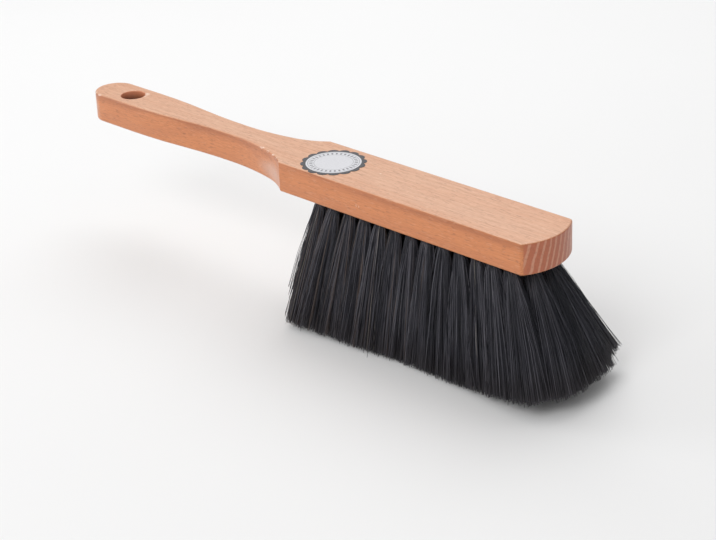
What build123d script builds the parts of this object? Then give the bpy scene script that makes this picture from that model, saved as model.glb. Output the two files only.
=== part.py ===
from build123d import *
from math import cos, hypot, radians, sin, tan
import os

os.makedirs("parts", exist_ok=True)

# Hand broom: a one-piece wooden stock, block and flat handle in one plank, with 54 tufts of
# horsehair. Each tuft is folded over a flat wire anchor at the bottom of its own drilled hole.
# X runs from the handle to the free end, Y across the block and Z up. The broom stands on its
# hair at Z = 0, with the middle of its outline at X = Y = 0. Millimetres and degrees.

# Wooden stock
block_width = 33.5
block_length = 141.6  # straight side, from the shoulder to the corner of the free end
end_rise = 5.5  # how far the free end bulges past its corners
stock_thickness = 14.3
handle_length = 145.6  # shoulder to the tip of the handle
grip_width = 20.8
grip_length = 33.6  # tip to where the handle's sides start to close in
neck_width = 13.3
neck_distance = 43.5  # shoulder to the narrowest place
collar_width = 19.6
collar_distance = 15.0  # shoulder to where the gentle curve turns into the tight one
handle_edge_radius = 1.0
block_edge_radius = 0.8
corner_radius = 1.0
hang_hole_diameter = 12.0
hang_hole_inset = 23.7  # tip to the centre of the hole
hang_rim_chamfer = 0.6

# Drilled holes for the tufts
hole_diameter = 5.0  # across the flats, as the round holes are faceted
hole_sides = 8
hole_depth = 9.0
drilling_overrun = 2.5  # past the mouth, so that a leaning hole opens all round
first_tuft_distance = 21.1  # shoulder to the first hole of the two outer rows
last_tuft_margin = 10.1  # last hole of the two outer rows to the corner of the free end
side_margin = 4.65  # outer rows to the sides of the block
outer_row_tufts = 13
row_names = ("front", "inner_front", "inner_back", "back")

# Flat wire anchors
anchor_thickness = 0.36
anchor_height = 1.8
anchor_bite = 0.45  # how far each end is pressed into the wood
anchor_clearance = 0.03
fold_thickness = 1.4  # hair between the anchor and the bottom of the hole

# Hair
hair_length = 60.3  # from the wood to the tips, along the hair
free_end_shortening = 6.5
trim_depth = 0.5  # how much the lowest tips are cut back to stand flat
root_clearance = 0.1
root_recess = 0.7  # from the mouth of the hole to the end of the packed root
lock_overlap = 1.2  # length of each lock inside the packed root
locks_round_centre = 7
lock_sides = 3
root_ring_radius = 1.72
root_lock_radius = 0.58
tip_lock_radius = 0.8
tuft_gap = 0.6  # least room between the tips of two tufts that stand upright

# Lean of the tufts, away from plumb
handle_end_lean_angle = 10.0
free_end_lean_angle = 31.0
side_lean_angle = 10.0
handle_corner_side_lean_angle = 12.0
free_corner_side_lean_angle = 17.0
handle_fan_share = 0.35  # of the row's length, over which the tufts lean to the handle
free_fan_start_share = 0.5
free_trim_start_share = 0.75
handle_fan_power = 1.5
free_fan_power = 1.4
free_trim_power = 1.5

# Paper label
label_diameter = 30.2  # over the scallops
label_thickness = 0.15
label_distance = 19.9  # shoulder to the middle of the label
label_offset = -1.4
scallop_count = 16
scallop_radius = 2.9

half_width = block_width / 2
hole_radius = hole_diameter / 2
root_radius = hole_radius - root_clearance
underside_height = hair_length - trim_depth
row_length = block_length - first_tuft_distance - last_tuft_margin
tuft_pitch = row_length / (outer_row_tufts - 1)
outer_row_offset = half_width - side_margin
row_spacing = 2 * outer_row_offset / (len(row_names) - 1)
tuft_spacing = min(tuft_pitch, hypot(tuft_pitch / 2, row_spacing))
tip_ring_radius = (tuft_spacing - tuft_gap) / 2 - tip_lock_radius
anchor_length = hole_diameter + 2 * anchor_bite
anchor_seat = hole_depth - fold_thickness
scallop_ring_radius = label_diameter / 2 - scallop_radius


def tuft_places():
    """Name, distance from the shoulder and offset from the middle line of every tuft."""
    places = []
    for row, row_name in enumerate(row_names):
        offset = row * row_spacing - outer_row_offset
        inner = 0 < row < len(row_names) - 1
        start = first_tuft_distance - (tuft_pitch / 2 if inner else 0)
        count = outer_row_tufts + (1 if inner else 0)
        for number in range(count):
            name = f"tuft_{row_name}_{number + 1:02d}"
            places.append((name, start + number * tuft_pitch, offset))
    return places


def fan_shares(distance):
    """How far a tuft takes part in the fan of the handle end and of the free end."""
    along = (distance - first_tuft_distance) / row_length
    to_handle = max(0, 1 - along / handle_fan_share) ** handle_fan_power
    to_free = max(0, (along - free_fan_start_share) / (1 - free_fan_start_share))
    return to_handle, to_free**free_fan_power


def hair_direction(distance, offset):
    """Unit vector from the hole to the tips."""
    to_handle, to_free = fan_shares(distance)
    along = free_end_lean_angle * to_free - handle_end_lean_angle * to_handle
    widest = side_lean_angle
    widest += (handle_corner_side_lean_angle - side_lean_angle) * to_handle
    widest += (free_corner_side_lean_angle - side_lean_angle) * to_free
    across = widest * offset / outer_row_offset
    return Vector(tan(radians(along)), tan(radians(across)), -1).normalized()


def hair_length_at(distance):
    """Length of the hair, which gets shorter towards the free end."""
    along = (distance - first_tuft_distance) / row_length
    trimmed = max(0, (along - free_trim_start_share) / (1 - free_trim_start_share))
    return hair_length - free_end_shortening * trimmed**free_trim_power


def fan_reach():
    """Furthest point of the hair from the shoulder, towards the free end."""
    reaches = []
    for _, distance, offset in tuft_places():
        direction = hair_direction(distance, offset)
        tip = distance + direction.X * hair_length_at(distance)
        reaches.append(tip - direction.Z * (tip_ring_radius + tip_lock_radius))
    return max(reaches)


shoulder_x = (handle_length - fan_reach()) / 2
underside = Plane((shoulder_x, 0, underside_height))
top = underside.offset(stock_thickness)


def tuft_plane(distance, offset):
    """Plane at the mouth of a hole, with its normal along the hair and its X across the block."""
    direction = hair_direction(distance, offset)
    across = direction.cross(Vector(1, 0, 0))
    return Plane((shoulder_x + distance, offset, underside_height), x_dir=across, z_dir=direction)


def at_mouths(piece):
    """Copies of a piece in place at every hole, from its own frame with the mouth at Z = 0."""
    planes = [tuft_plane(distance, offset) for _, distance, offset in tuft_places()]
    return [piece.moved(plane.location) for plane in planes]


def faceted_circle(radius):
    """Flat-sided circle that touches the true one, with a flat towards each end of the anchor."""
    return RegularPolygon(radius, hole_sides, major_radius=False, rotation=180 / hole_sides)


def build_drilling():
    """What is drilled and pressed out of the block for one tuft and its anchor."""
    kerf_width = anchor_thickness + 2 * anchor_clearance
    with BuildPart() as drilling:
        with BuildSketch(Plane.XY.offset(-hole_depth)):
            faceted_circle(hole_radius)
        extrude(amount=hole_depth + drilling_overrun)
        with BuildSketch(Plane.XY.offset(-anchor_seat)):
            Rectangle(anchor_length, kerf_width)
        extrude(amount=anchor_seat + drilling_overrun)
    return drilling.part


def build_stock():
    """Wooden block and handle, with the hanging hole and the drillings."""
    end = (block_length + end_rise, 0)
    corner = (block_length, half_width)
    shoulder = (0, half_width)
    collar = (-collar_distance, collar_width / 2)
    neck = (-neck_distance, neck_width / 2)
    grip = (grip_length - handle_length, grip_width / 2)
    swell = ((neck[0] + grip[0]) / 2, (neck[1] + grip[1]) / 2)
    cap = (grip_width / 2 - handle_length, grip_width / 2)
    with BuildPart() as stock:
        with BuildSketch(underside):
            with BuildLine():
                TangentArc(end, corner, tangent=(0, 1))
                Line(corner, shoulder)
                gentle = TangentArc(neck, collar, tangent=(1, 0))
                TangentArc(collar, shoulder, tangent=gentle % 1)
                waist = TangentArc(neck, swell, tangent=(-1, 0))
                TangentArc(swell, grip, tangent=waist % 1)
                Line(grip, cap)
                TangentArc(cap, (-handle_length, 0), tangent=(-1, 0))
                mirror(about=Plane.XZ)
            make_face()
        extrude(amount=stock_thickness)
        # The four upright edges that stand out furthest to the sides are the block's corners
        uprights = stock.edges().filter_by(Axis.Z).sort_by(lambda edge: abs(edge.center().Y))
        fillet(uprights[-4:].sort_by(Axis.X)[-2:], radius=corner_radius)
        # Handle first: its softer edges run out against the square shoulders
        fillet(outline_edges(stock, to_handle=True), radius=handle_edge_radius)
        fillet(outline_edges(stock, to_handle=False), radius=block_edge_radius)
        with BuildSketch(underside):
            with Locations((hang_hole_inset - handle_length, 0)):
                Circle(hang_hole_diameter / 2)
        extrude(amount=stock_thickness, mode=Mode.SUBTRACT)
        chamfer(stock.edges(Select.LAST).filter_by(GeomType.CIRCLE), length=hang_rim_chamfer)
        add(at_mouths(build_drilling()), mode=Mode.SUBTRACT)
    return stock


def outline_edges(stock, to_handle):
    """Edges round the top and the underside, on the handle's or the block's side of the shoulder."""
    edges = stock.faces().filter_by(Plane.XY).edges()
    return edges.filter_by(lambda edge: (edge.center().X < shoulder_x) == to_handle)


def build_lock(length, angle, ring_share):
    """One lock of hair with flat sides, from inside the packed root to its tip."""
    ends = (
        (-root_recess - lock_overlap, root_ring_radius, root_lock_radius),
        (length, tip_ring_radius, tip_lock_radius),
    )
    corners = []
    for height, ring_radius, lock_radius in ends:
        x = ring_share * ring_radius * cos(radians(angle))
        y = ring_share * ring_radius * sin(radians(angle))
        with BuildSketch(Plane.XY.offset(height)) as end:
            with Locations((x, y)):
                RegularPolygon(lock_radius, lock_sides, rotation=angle)
        corners += end.sketch.vertices()
    with BuildPart() as lock:
        ConvexPolyhedron(corners)
    return lock.part


def build_tuft(length):
    """Packed root with its slot for the anchor, and the locks that fan out from it."""
    locks = [build_lock(length, 0, 0)]
    for number in range(locks_round_centre):
        locks.append(build_lock(length, 360 * number / locks_round_centre, 1))
    with BuildPart() as tuft:
        with BuildSketch(Plane.XY.offset(-hole_depth)):
            faceted_circle(root_radius)
        extrude(amount=hole_depth - root_recess)
        with BuildSketch(Plane.XY.offset(-anchor_seat - anchor_clearance)):
            Rectangle(hole_diameter, anchor_thickness + 2 * anchor_clearance)
        extrude(amount=anchor_height + 2 * anchor_clearance, mode=Mode.SUBTRACT)
        add(locks)
    return tuft.part


def build_anchors():
    """All the flat wire anchors, each across its hole with both ends in the wood."""
    with BuildPart() as anchor:
        with BuildSketch(Plane.XY.offset(-anchor_seat)):
            Rectangle(anchor_length, anchor_thickness)
        extrude(amount=anchor_height)
    with BuildPart() as anchors:
        add(at_mouths(anchor.part))
    return anchors


def build_label():
    """Round paper label with a scalloped rim, flat on the block beside the handle."""
    with BuildPart() as label:
        with BuildSketch(top):
            with Locations((label_distance, label_offset)):
                Circle(scallop_ring_radius)
                with PolarLocations(scallop_ring_radius, scallop_count):
                    Circle(scallop_radius)
        extrude(amount=label_thickness)
    return label


def save(piece, name):
    """Label a piece and write it under its name."""
    piece.part.label = name
    export_step(piece.part, f"parts/{name}.step")


save(build_stock(), "stock")
save(build_anchors(), "anchors")
save(build_label(), "label")

# Tufts of one length are alike until they are leant and trimmed flat at Z = 0
alike = {}
for tuft_name, tuft_distance, tuft_offset in tuft_places():
    tuft_length = hair_length_at(tuft_distance)
    if tuft_length not in alike:
        alike[tuft_length] = build_tuft(tuft_length)
    with BuildPart() as tuft:
        add(alike[tuft_length].moved(tuft_plane(tuft_distance, tuft_offset).location))
        split(bisect_by=Plane.XY, keep=Keep.TOP)
    save(tuft, tuft_name)
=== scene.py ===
"""Hand broom: a one-piece beech stock with four rows of black horsehair tufts.

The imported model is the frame. The stock and the tufts are modelled anew in place of theirs, with
rounded edges, drilled holes and single hairs. The label and the wire anchors keep their packed form
and get their finish. Lengths are in metres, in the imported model's own frame, and angles in degrees.
"""

import logging
import math
from collections.abc import Callable, Iterator
from contextlib import contextmanager
from dataclasses import dataclass
from enum import Enum
from functools import cached_property

import bmesh
import bpy
import numpy as np
from mathutils import Matrix, Vector


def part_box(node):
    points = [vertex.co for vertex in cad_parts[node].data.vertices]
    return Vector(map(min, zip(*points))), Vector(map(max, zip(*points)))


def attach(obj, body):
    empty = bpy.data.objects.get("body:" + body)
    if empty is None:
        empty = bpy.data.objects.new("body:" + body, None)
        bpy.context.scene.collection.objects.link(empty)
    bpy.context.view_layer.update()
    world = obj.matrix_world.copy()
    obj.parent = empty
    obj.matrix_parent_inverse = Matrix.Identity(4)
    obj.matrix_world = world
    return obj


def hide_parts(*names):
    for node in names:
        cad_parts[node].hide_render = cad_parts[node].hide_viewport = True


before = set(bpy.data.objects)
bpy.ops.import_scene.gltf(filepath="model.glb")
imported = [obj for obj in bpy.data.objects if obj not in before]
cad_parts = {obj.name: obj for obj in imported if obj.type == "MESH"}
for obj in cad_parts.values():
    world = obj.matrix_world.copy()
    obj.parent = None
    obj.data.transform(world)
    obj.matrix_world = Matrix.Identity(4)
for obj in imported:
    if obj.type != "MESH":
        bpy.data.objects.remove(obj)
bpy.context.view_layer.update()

log = logging.getLogger("hand_broom")

MM = 0.001
BODY = "root"
HAIR_MAP = "HairShade"
BAKE_MAP = "OFBake"
STEEP_SHARE = 0.99  # of an edge's length, which an upright edge rises at least
FLAT_SHARE = 0.01  # of an edge's length, which a level edge rises at most
DISPLAY_LEVELS = 255
DISPLAY_KNEE = 0.04045  # where the display's curve changes from a line to a power
DISPLAY_SLOPE = 12.92
DISPLAY_OFFSET = 0.055
DISPLAY_POWER = 2.4
PLAIN_DETAIL = 1  # octaves of a noise
FINE_DETAIL = 3
Triple = tuple[float, float, float]  # a point, or a size, an angle or a number by axis
Colour = tuple[float, float, float]
Values = tuple[float, ...]  # sizes, or a range: where it starts, where it ends, and the results there
Socket = bpy.types.NodeSocket


class Slot(Enum):
    """Names of four material slots."""

    BEECH = "beech"
    HORSEHAIR = "horsehair"
    ANCHOR_WIRE = "anchor_wire"
    PAPER_LABEL = "paper_label"


def linear(*levels: int) -> Colour:
    """Scene-linear colour of an eight-bit display colour, by the display's own curve.

    Args:
        levels: Red, green and blue, 0 to 255.

    Returns:
        The three linear values.
    """
    shares = [level / DISPLAY_LEVELS for level in levels]
    return tuple(
        share / DISPLAY_SLOPE
        if share <= DISPLAY_KNEE
        else ((share + DISPLAY_OFFSET) / (1 + DISPLAY_OFFSET)) ** DISPLAY_POWER
        for share in shares
    )


def mm(*lengths: float) -> Values:
    """Lengths in millimetres, as metres."""
    return tuple(length * MM for length in lengths)


# Modelling by hand


def pick(piece: bpy.types.Object) -> None:
    """Selects one object alone and makes it active.

    Args:
        piece: The object.
    """
    bpy.ops.object.select_all(action="DESELECT")
    piece.select_set(True)
    bpy.context.view_layer.objects.active = piece


@contextmanager
def editing(piece: bpy.types.Object) -> Iterator[None]:
    """Edit mode on one piece, with nothing selected at first.

    Args:
        piece: The mesh object to edit.
    """
    pick(piece)
    bpy.ops.object.mode_set(mode="EDIT")
    bpy.ops.mesh.select_all(action="DESELECT")
    yield
    bpy.ops.object.mode_set(mode="OBJECT")


def added(name: str, add: Callable[..., object], **settings: object) -> bpy.types.Object:
    """Adds an object, names it and puts its place into its mesh.

    Args:
        name: The object's name.
        add: Blender's own call that adds it.
        settings: What the call says.

    Returns:
        The object.
    """
    bpy.ops.object.select_all(action="DESELECT")
    add(**settings)
    piece = bpy.context.active_object
    piece.name = name
    bpy.ops.object.transform_apply(location=True, rotation=True, scale=True)
    return piece


def linked(name: str, data: bpy.types.ID) -> bpy.types.Object:
    """Makes an object from its data and puts it into the scene.

    Args:
        name: The object's name.
        data: Its mesh, light or camera.

    Returns:
        The object.
    """
    item = bpy.data.objects.new(name, data)
    bpy.context.collection.objects.link(item)
    return item


def extrude(step: Vector) -> None:
    """Extrudes by a step what is selected in edit mode."""
    bpy.ops.mesh.extrude_region_move(TRANSFORM_OT_translate={"value": step})


def face_outwards() -> None:
    """Turns every face of the mesh in edit mode outwards."""
    bpy.ops.mesh.select_all(action="SELECT")
    bpy.ops.mesh.normals_make_consistent(inside=False)


def select_edges(piece: bpy.types.Object, wanted: Callable[[bmesh.types.BMEdge], bool]) -> None:
    """Selects the edges that a test picks out, in edit mode.

    Args:
        piece: The piece in edit mode.
        wanted: The test of one edge.
    """
    bpy.ops.mesh.select_mode(type="EDGE")
    bpy.ops.mesh.select_all(action="DESELECT")
    mesh = bmesh.from_edit_mesh(piece.data)
    for edge in mesh.edges:
        edge.select_set(wanted(edge))
    bmesh.update_edit_mesh(piece.data)


def middle(edge: bmesh.types.BMEdge) -> Vector:
    """Middle of an edge."""
    return (edge.verts[0].co + edge.verts[1].co) / 2


def is_upright(edge: bmesh.types.BMEdge) -> bool:
    """Whether an edge runs straight up."""
    along = edge.verts[1].co - edge.verts[0].co
    return abs(along.z) > STEEP_SHARE * along.length


def is_level(edge: bmesh.types.BMEdge) -> bool:
    """Whether an edge lies flat."""
    along = edge.verts[1].co - edge.verts[0].co
    return abs(along.z) < FLAT_SHARE * along.length


def apply_modifier(piece: bpy.types.Object, kind: str, **settings: object) -> None:
    """Adds a modifier, sets it and applies it.

    Args:
        piece: The piece that gets it.
        kind: Blender's name of the modifier's type.
        settings: The modifier's own properties.
    """
    pick(piece)
    bpy.ops.object.modifier_add(type=kind)
    modifier = piece.modifiers[-1]
    for name, value in settings.items():
        setattr(modifier, name, value)
    bpy.ops.object.modifier_apply(modifier=modifier.name)


def dress(piece: bpy.types.Object, material: bpy.types.Material) -> None:
    """Gives a piece its one material."""
    piece.data.materials.clear()
    piece.data.materials.append(material)


# Finishes


class Graph:
    """The node graph of one material, with short calls for what the finishes need."""

    def __init__(self, name: str) -> None:
        """Makes the material with an empty graph and its shader.

        Args:
            name: The material's name.
        """
        self.material = bpy.data.materials.new(name)
        self.material.use_nodes = True
        self.tree = self.material.node_tree
        self.tree.nodes.clear()
        self.shader = self.add("ShaderNodeBsdfPrincipled")
        self.add("ShaderNodeOutputMaterial", {"Surface": self.shader.outputs["BSDF"]})

    def add(self, kind: str, inputs: dict | None = None, **settings: object) -> bpy.types.Node:
        """A new node.

        Args:
            kind: Blender's identifier of the node's type.
            inputs: Sockets and plain values, by the name or number of the input that they feed.
            settings: The node's own properties.

        Returns:
            The node.
        """
        node = self.tree.nodes.new(kind)
        for name, value in settings.items():
            setattr(node, name, value)
        for name, value in (inputs or {}).items():
            self.feed(node.inputs[name], value)
        return node

    def feed(self, target: Socket, value: object) -> None:
        """Links a socket to an input, or sets a plain value on it.

        Args:
            target: The input.
            value: An output socket, a number or a tuple.
        """
        if isinstance(value, Socket):
            self.tree.links.new(value, target)
        elif target.type == "RGBA" and isinstance(value, tuple):
            target.default_value = (*value, 1)
        else:
            target.default_value = value

    @cached_property
    def place(self) -> Socket:
        """Object coordinates of the surface."""
        return self.add("ShaderNodeTexCoord").outputs["Object"]

    def mapped(self, scale: Triple, turn: Triple = (0, 0, 0)) -> Socket:
        """Object coordinates, turned and scaled for a pattern.

        Args:
            scale: Scale along each axis.
            turn: Turn about each axis, in degrees.

        Returns:
            The new coordinates.
        """
        turned = [math.radians(angle) for angle in turn]
        inputs = {"Vector": self.place, "Scale": scale, "Rotation": turned}
        return self.add("ShaderNodeMapping", inputs).outputs["Vector"]

    def noise(self, per_metre: Triple, detail: float = 2, roughness: float = 0.5) -> Socket:
        """Smooth noise from 0 to 1, by its features in a metre, its octaves and their roughness."""
        inputs = {"Vector": self.mapped(per_metre), "Scale": 1, "Detail": detail, "Roughness": roughness}
        return self.add("ShaderNodeTexNoise", inputs).outputs["Fac"]

    def grain(self, size: Values, detail: float = 2, roughness: float = 0.5) -> Socket:
        """Noise drawn out along the plank, by a feature's length and its width."""
        length, width = size
        return self.noise((1 / length, 1 / width, 1 / width), detail, roughness)

    def calculate(self, operation: str, *values: object) -> Socket:
        """Result of a Math node, by Blender's name of the operation, from sockets or numbers."""
        return self.add("ShaderNodeMath", dict(enumerate(values)), operation=operation).outputs["Value"]

    def vector(self, operation: str, *values: object) -> bpy.types.Node:
        """A Vector Math node, by Blender's name of the operation, on sockets or tuples."""
        return self.add("ShaderNodeVectorMath", dict(enumerate(values)), operation=operation)

    def spread(
        self, value: Socket, low: float, high: float, to_low: float = 0, to_high: float = 1
    ) -> Socket:
        """A value between low and high, eased into the range between to_low and to_high."""
        inputs = {"Value": value, "From Min": low, "From Max": high, "To Min": to_low, "To Max": to_high}
        return self.add("ShaderNodeMapRange", inputs, interpolation_type="SMOOTHSTEP").outputs["Result"]

    def mix(self, share: object, first: object, second: object, way: str = "MIX") -> Socket:
        """Two colours mixed.

        Args:
            share: Share of the second, a socket or a number.
            first: A socket or a colour.
            second: A socket or a colour.
            way: Blender's name of the blend type.

        Returns:
            The mixed colour.
        """
        node = self.add("ShaderNodeMix", data_type="RGBA", blend_type=way)
        colours = [socket for socket in node.inputs if socket.type == "RGBA"]
        self.feed(node.inputs[0], share)
        self.feed(colours[0], first)
        self.feed(colours[1], second)
        return next(socket for socket in node.outputs if socket.type == "RGBA")

    def split(self, vector: Socket) -> tuple[Socket, Socket, Socket]:
        """The three outputs of a vector."""
        return tuple(self.add("ShaderNodeSeparateXYZ", {"Vector": vector}).outputs)

    def distance(self, centre: Triple, radii: Triple) -> Socket:
        """Distance from a centre, measured in radii that may differ by axis.

        Args:
            centre: The centre.
            radii: The radius along each axis.

        Returns:
            The distance, which is 1 on the ellipsoid.
        """
        away = self.vector("SUBTRACT", self.place, centre).outputs["Vector"]
        sized = self.vector("DIVIDE", away, radii).outputs["Vector"]
        return self.vector("LENGTH", sized).outputs["Value"]

    def bump(self, height: Socket, strength: float, depth: float) -> None:
        """Raises the surface for the light alone, by a height from 0 to 1 that stands for a depth."""
        node = self.add("ShaderNodeBump", {"Strength": strength, "Distance": depth, "Height": height})
        self.feed(self.shader.inputs["Normal"], node.outputs["Normal"])

    def set(self, **values: object) -> None:
        """Sets or links inputs of the shader.

        Args:
            values: By the input's name in lower case, with underscores.
        """
        inputs = {socket.name.lower().replace(" ", "_"): socket for socket in self.shader.inputs}
        for name, value in values.items():
            self.feed(inputs[name], value)


class Finish:
    """A finish, which makes its own material."""

    name = "finish"

    def material(self) -> bpy.types.Material:
        """Makes the material and paints it.

        Returns:
            The material.
        """
        graph = Graph(self.name)
        self.paint(graph)
        return graph.material

    def paint(self, graph: Graph) -> None:
        """Adds the finish's own nodes to a graph."""
        raise NotImplementedError


@dataclass(frozen=True)
class Mark:
    """A pale mark on the wood: small and crisp for wear and for a painted highlight, wide and soft for a
    painted sheen.
    """

    centre: Triple
    radii: Triple
    strength: float
    core_share: float = 0.5  # of the radii, within which the mark has its full strength


@dataclass(frozen=True)
class Beech(Finish):
    """Steamed beech, sanded and thinly lacquered, with its grain along X.

    A pattern's size is a feature's length along the plank and its width across it.
    """

    name = "beech"
    # Paler and greyer than the sides: the lacquer's sheen under the overhead lamp is painted into the
    # top's colour
    top_colour_with_painted_sheen: Colour = linear(222, 172, 138)
    side_colour: Colour = linear(209, 130, 78)
    end_colour: Colour = linear(178, 98, 64)
    ring_colour: Colour = linear(186, 112, 72)
    end_line_colour: Colour = linear(212, 160, 132)
    pore_colour: Colour = linear(144, 80, 48)
    ray_colour: Colour = linear(240, 200, 168)
    # Painted shade, in a wavering band below the top edge of the sides and along their foot
    painted_edge_shade_colour: Colour = linear(170, 98, 56)
    bare_and_painted_highlight_colour: Colour = linear(246, 222, 204)  # sanded through the lacquer, and the painted highlight on the hanging hole's rim
    # Painted sheen of the lacquer, on the shoulder's facet and the handle's end
    painted_sheen_colour: Colour = linear(214, 182, 166)
    # Painted light and shade on the wall of the hanging hole: lit near the top, dark deeper down
    bore_painted_light_colour: Colour = linear(222, 146, 110)
    bore_painted_shade_colour: Colour = linear(84, 46, 34)
    top_height: float = 74.1 * MM
    underside_height: float = 59.8 * MM
    side_facing: Values = (0.45, 0.85, 1, 0)  # over the upright part of the normal
    end_facing: Values = (0.66, 0.9)  # over its part along the plank
    fibre_size: Values = mm(14, 0.4)
    fibre_roughness: float = 0.6
    fibre_shade: Values = (0.4, 0.72, 0, 0.28)
    pore_size: Values = mm(3.4, 0.42)
    pore_shade: Values = (0.58, 0.7, 0, 0.42)
    ring_pitch: float = 3.3 * MM
    ring_lean: float = 14.0  # of the growth rings from plumb, as the end shows
    ring_waver: float = 9.0  # in radians
    ring_waver_size: Values = mm(110, 17)
    ring_shade: Values = (-0.2, 1.0)
    ring_strength: Values = (0, 1, 0.14, 0.32)  # from the top to the sides
    tone_size: Values = mm(85, 11)
    tone_shade: Values = (0.35, 0.75, 0, 0.3)
    ray_size: Values = mm(3.2, 0.75)
    ray_shade: Values = (0.58, 0.72)
    ray_strength: Values = (0, 1, 0.24, 0.1)  # from the top to the sides
    edge_shade_waver_size: Values = mm(50, 3.5)
    edge_shade_waver: Values = (0.3, 0.65, 0.1, 0.8)
    edge_shade_depth: float = 5.0 * MM
    edge_shade_inset: float = 0.6 * MM  # from the top to where the painted shade is darkest
    foot_depth: float = 1.2 * MM
    foot_shade: float = 0.7
    end_line_shade: Values = (0.1, 0.95, 0, 0.54)
    end_specks_per_metre: Triple = (900, 900, 900)
    end_speck_shade: Values = (0.45, 0.7, 0, 0.3)
    rough_range: Values = (0.2, 0.8, 0.36, 0.52)
    end_roughness: float = 0.12  # more than elsewhere
    lacquer: float = 0.4
    lacquer_roughness: float = 0.28
    bump_strength: float = 0.25
    bump_depth: float = 0.05 * MM
    pore_depth_share: float = 0.5
    bore_centre: Triple = mm(-133.681, 0, 66.95)
    bore_radius: float = 6.0 * MM
    bore_wall: Values = (1.0, 1.07, 0.85, 0)  # over the distance in radii
    bore_light_depth: float = 5.0 * MM
    speckles_per_metre: Triple = (1500, 1500, 1500)
    speckle_shade: Values = (0.35, 0.6)
    marks: tuple[Mark, ...] = (
        Mark(mm(36.6, -16.75, 65.9), mm(0.35, 1, 0.9), 0.6),
        Mark(mm(38.2, -16.75, 65.7), mm(0.3, 1, 0.8), 0.4),
        Mark(mm(33.65, 2.31, 74.1), mm(0.9, 0.6, 1), 0.7),
        # The next two marks are a painted highlight on the rounded rim of the hanging hole
        Mark(mm(-129.0, 5.0, 74.0), mm(2.3, 1.7, 1.0), 0.9),
        Mark(mm(-127.4, 2.6, 74.1), mm(1.0, 1.8, 1.0), 0.75),
        Mark(mm(-31.2, -8.4, 74.0), mm(2.0, 0.8, 1.0), 0.75),
        Mark(mm(-26.4, -9.9, 73.9), mm(1.6, 0.9, 1.0), 0.8),
        Mark(mm(-21.6, -11.6, 74.0), mm(2.2, 0.9, 1.0), 0.85),
        Mark(mm(-17.2, -13.8, 73.9), mm(1.5, 1.1, 1.0), 0.8),
        Mark(mm(-13.2, -16.1, 74.0), mm(1.4, 1.0, 1.0), 0.85),
        Mark(mm(-147.6, -10.1, 73.9), mm(1.6, 0.8, 1.0), 0.7),
        Mark(mm(-152.0, -9.0, 73.9), mm(1.2, 1.2, 1.0), 0.75),
    )
    # Painted sheens: soft pale patches where the lacquer reflects the light
    painted_sheens: tuple[Mark, ...] = (
        Mark(mm(-19, -10, 65), mm(20, 8, 6.5), 0.5, 0.2),
        Mark(mm(-153, -9, 67), mm(6, 6, 5), 0.35, 0.1),
    )

    def paint(self, graph: Graph) -> None:
        """Paints the wood.

        Args:
            graph: The material's graph.
        """
        side, end = self.facing(graph)
        phase = self.ring_phase(graph)
        fibres = graph.grain(self.fibre_size, FINE_DETAIL, self.fibre_roughness)
        pores = graph.grain(self.pore_size, PLAIN_DETAIL)
        colour = self.long_grain(graph, side, phase, fibres, pores)
        colour = graph.mix(end, colour, self.end_grain(graph, phase))
        rough = graph.spread(fibres, *self.rough_range)
        graph.set(
            base_color=self.with_painted_light_and_wear(graph, colour),
            roughness=graph.calculate("MULTIPLY_ADD", end, self.end_roughness, rough),
            coat_weight=self.lacquer,
            coat_roughness=self.lacquer_roughness,
        )
        height = graph.calculate("MULTIPLY_ADD", pores, -self.pore_depth_share, fibres)
        graph.bump(height, self.bump_strength, self.bump_depth)

    def facing(self, graph: Graph) -> tuple[Socket, Socket]:
        """How far the surface is a side of the plank, and how far its end grain.

        Args:
            graph: The material's graph.

        Returns:
            The two shares.
        """
        x, _, z = graph.split(graph.add("ShaderNodeTexCoord").outputs["Normal"])
        side = graph.spread(graph.calculate("ABSOLUTE", z), *self.side_facing)
        end = graph.spread(graph.calculate("ABSOLUTE", x), *self.end_facing)
        return side, end

    def ring_phase(self, graph: Graph) -> Socket:
        """Phase of the growth rings: nearly upright sheets along the plank that waver.

        Args:
            graph: The material's graph.

        Returns:
            The phase, in radians.
        """
        waver = graph.grain(self.ring_waver_size, FINE_DETAIL)
        _, across, _ = graph.split(graph.mapped((1, 1, 1), (self.ring_lean, 0, 0)))
        phase = graph.calculate("MULTIPLY", across, 2 * math.pi / self.ring_pitch)
        return graph.calculate("MULTIPLY_ADD", waver, self.ring_waver, phase)

    def long_grain(
        self, graph: Graph, side: Socket, phase: Socket, fibres: Socket, pores: Socket
    ) -> Socket:
        """Colour of the faces that run along the grain, with a painted sheen on the top and painted shade
        on the sides.

        Args:
            graph: The material's graph.
            side: Share of the sides.
            phase: Phase of the growth rings.
            fibres: Noise of the fibres.
            pores: Noise of the pores.

        Returns:
            The colour.
        """
        rings = graph.spread(graph.calculate("SINE", phase), *self.ring_shade)
        strength = graph.spread(side, *self.ring_strength)
        tone = graph.spread(graph.grain(self.tone_size), *self.tone_shade)
        rays = graph.spread(graph.grain(self.ray_size, PLAIN_DETAIL), *self.ray_shade)
        flecks = graph.calculate("MULTIPLY", rays, graph.spread(side, *self.ray_strength))
        # Painted sheen: the top takes its paler colour, the sides their own
        colour = graph.mix(side, self.top_colour_with_painted_sheen, self.side_colour)
        colour = graph.mix(graph.calculate("MULTIPLY", rings, strength), colour, self.ring_colour)
        colour = graph.mix(tone, colour, self.side_colour)
        # Painted shade below the top edge and along the foot of the sides
        colour = self.with_painted_edge_shade(graph, side, colour)
        colour = graph.mix(graph.spread(fibres, *self.fibre_shade), colour, self.pore_colour)
        colour = graph.mix(graph.spread(pores, *self.pore_shade), colour, self.pore_colour)
        return graph.mix(flecks, colour, self.ray_colour)

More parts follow.
